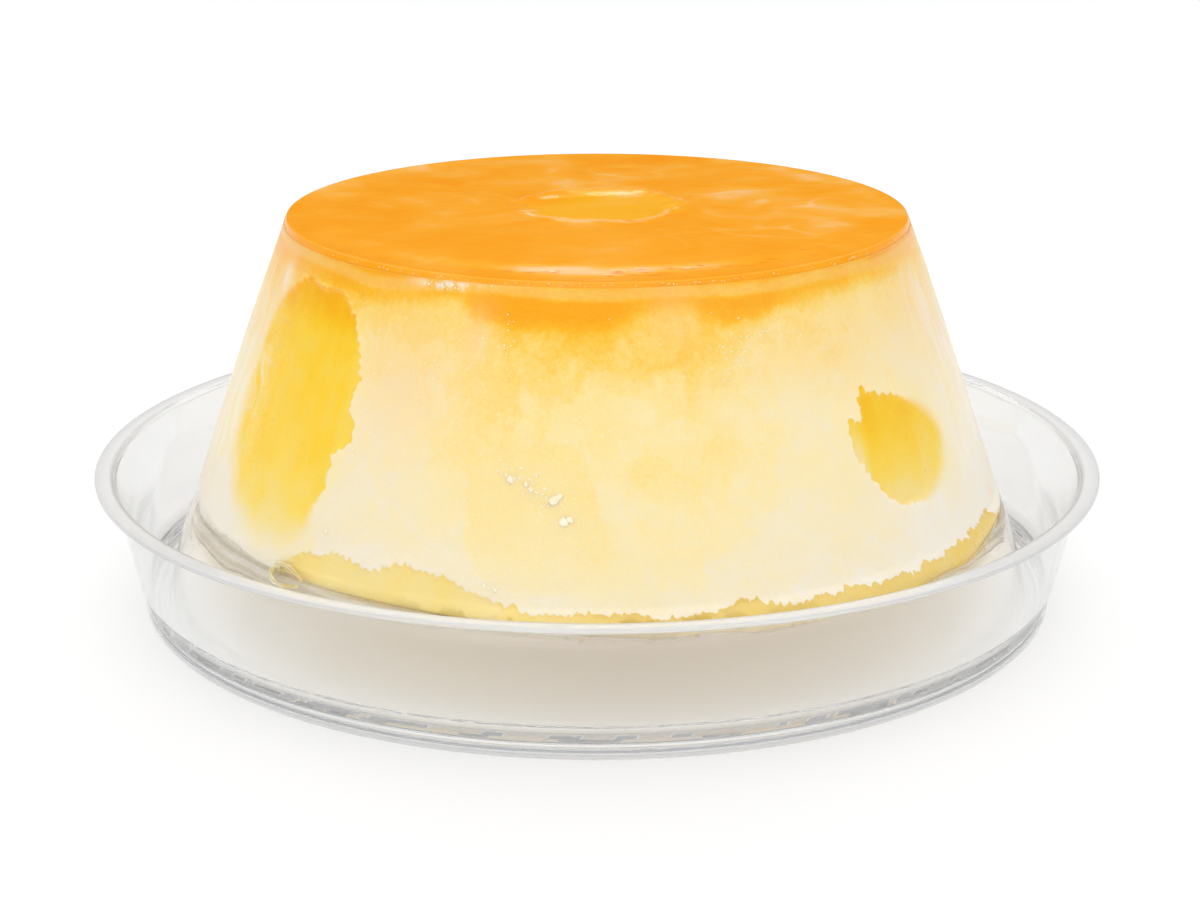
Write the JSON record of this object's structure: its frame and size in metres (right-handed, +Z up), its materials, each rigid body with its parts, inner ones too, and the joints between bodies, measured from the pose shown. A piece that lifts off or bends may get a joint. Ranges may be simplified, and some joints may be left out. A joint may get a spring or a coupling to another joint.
{
  "type": "leche flan",
  "caption": "Round steamed egg-custard flan with a glossy orange caramel top, standing on the raised middle of a shallow clear plastic base.",
  "frame": {"origin": "centre of the base's foot ring, on the surface that it stands on", "axes": "+Z up along the axis that every piece is turned around; -Y is the front, with the torn yellow patches to its left and right"},
  "size_m": [0.2, 0.2, 0.0765],
  "materials": {
    "clear_plastic": "clear moulded plastic sheet, polished, with faint rubbing scratches",
    "custard": "steamed egg custard: pale frothy skin, torn off in places to a smoother yellow inside",
    "caramel": "caramel-soaked custard, wet and glossy, orange with paler streaks"
  },
  "bodies": {
    "root": {"dish": "clear_plastic", "custard": "custard", "caramel_top": "caramel"}
  },
  "joints": []
}
